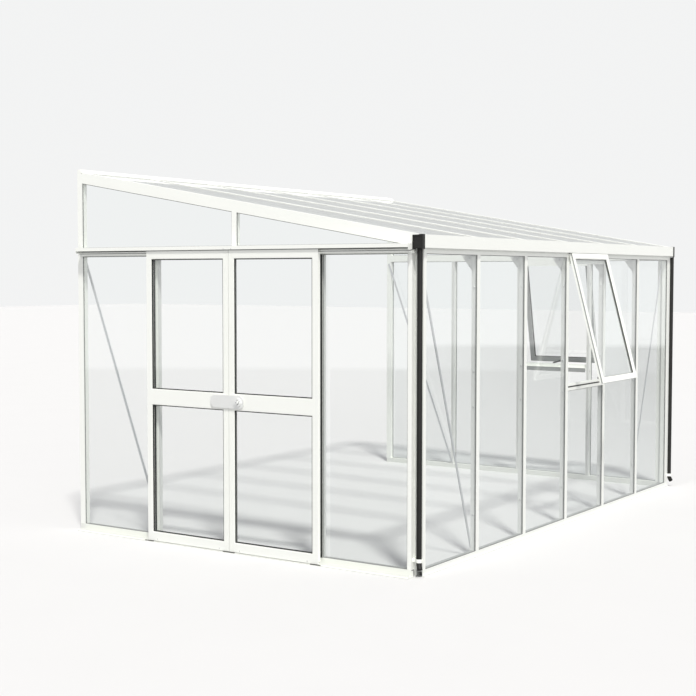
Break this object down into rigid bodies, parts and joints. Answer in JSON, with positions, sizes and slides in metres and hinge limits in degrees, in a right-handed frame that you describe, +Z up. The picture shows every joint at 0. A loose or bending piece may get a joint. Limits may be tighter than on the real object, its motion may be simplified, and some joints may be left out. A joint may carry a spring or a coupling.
{
  "type": "lean-to greenhouse",
  "caption": "White aluminium lean-to greenhouse with clear glass, sliding double door, open top-hung windows, gutter and downpipes.",
  "frame": {"origin": "middle of the underside of the eave-side base sill, on the ground", "axes": "+X along the eave from the door gable to the far gable, +Y towards the house wall, +Z up"},
  "size_m": [4.9113, 3.3796, 2.7953],
  "materials": {
    "white_aluminium": "satin powder coat",
    "clear_glass": "polished",
    "black_plastic": "satin",
    "grey_metal": "satin"
  },
  "bodies": {
    "frame": {"base_sill_front": "white_aluminium", "base_sill_left": "white_aluminium", "base_sill_right": "white_aluminium", "braces": "white_aluminium", "corner_post_left": "white_aluminium", "corner_post_right": "white_aluminium", "door_guide": "white_aluminium", "door_jambs": "white_aluminium", "door_track": "white_aluminium", "downpipe_clips": "white_aluminium", "downpipes": "black_plastic", "eave_gutter": "white_aluminium", "front_glass": "clear_glass", "front_mullions": "white_aluminium", "front_window_glass": "clear_glass", "front_window_sash": "white_aluminium", "gable_rafter_left": "white_aluminium", "gable_rafter_right": "white_aluminium", "gable_window_glass": "clear_glass", "gable_window_sash": "white_aluminium", "gutter_end_caps": "black_plastic", "king_posts": "white_aluminium", "knee_brackets": "white_aluminium", "left_gable_glass": "clear_glass", "right_gable_glass": "clear_glass", "right_gable_mullions": "white_aluminium", "roof_glass": "clear_glass", "roof_rafters": "white_aluminium", "transom_left": "white_aluminium", "transom_right": "white_aluminium", "wall_plate": "white_aluminium", "wall_post_left": "white_aluminium", "wall_post_right": "white_aluminium", "window_frames": "white_aluminium", "window_stays": "white_aluminium"},
    "door_left": {"door_left_frame": "white_aluminium", "door_left_glass": "clear_glass", "door_left_hangers": "white_aluminium", "door_latch_plate": "grey_metal", "door_latch_knob": "grey_metal"},
    "door_right": {"door_right_frame": "white_aluminium", "door_right_glass": "clear_glass", "door_right_hangers": "white_aluminium"}
  },
  "joints": [
    {"name": "door_left_slide", "type": "slide", "parent": "frame", "child": "door_left", "axis": [0, 1, 0], "range_m": [0, 0.7]},
    {"name": "door_right_slide", "type": "slide", "parent": "frame", "child": "door_right", "axis": [0, -1, 0], "range_m": [0, 0.7]}
  ]
}
